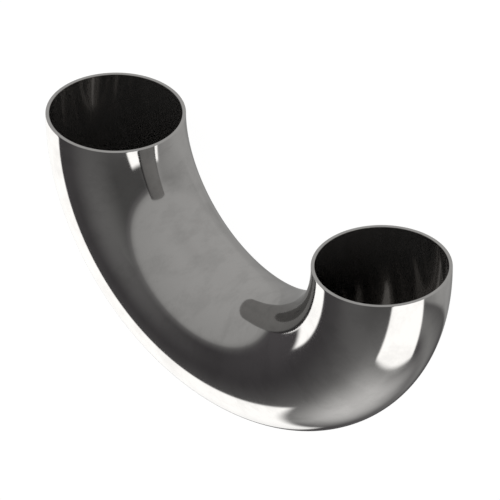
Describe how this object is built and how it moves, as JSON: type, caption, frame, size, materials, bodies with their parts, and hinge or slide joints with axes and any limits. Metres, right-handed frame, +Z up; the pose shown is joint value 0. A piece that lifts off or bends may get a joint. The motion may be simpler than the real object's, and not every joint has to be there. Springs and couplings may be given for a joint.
{
  "type": "pipe bend",
  "caption": "Half-turn bend of thin-walled round steel tube, with open, square-cut ends that face the same way for butt welding.",
  "frame": {"origin": "on the bench that the bend lies on, under the middle of the box that it fills", "axes": "+Z up, +X along the line through both openings, -Y the way both openings face, so the crown of the bend is towards +Y"},
  "size_m": [0.419, 0.2096, 0.1143],
  "materials": {
    "polished_steel": null
  },
  "bodies": {
    "root": {"pipe_bend": "polished_steel"}
  },
  "joints": []
}
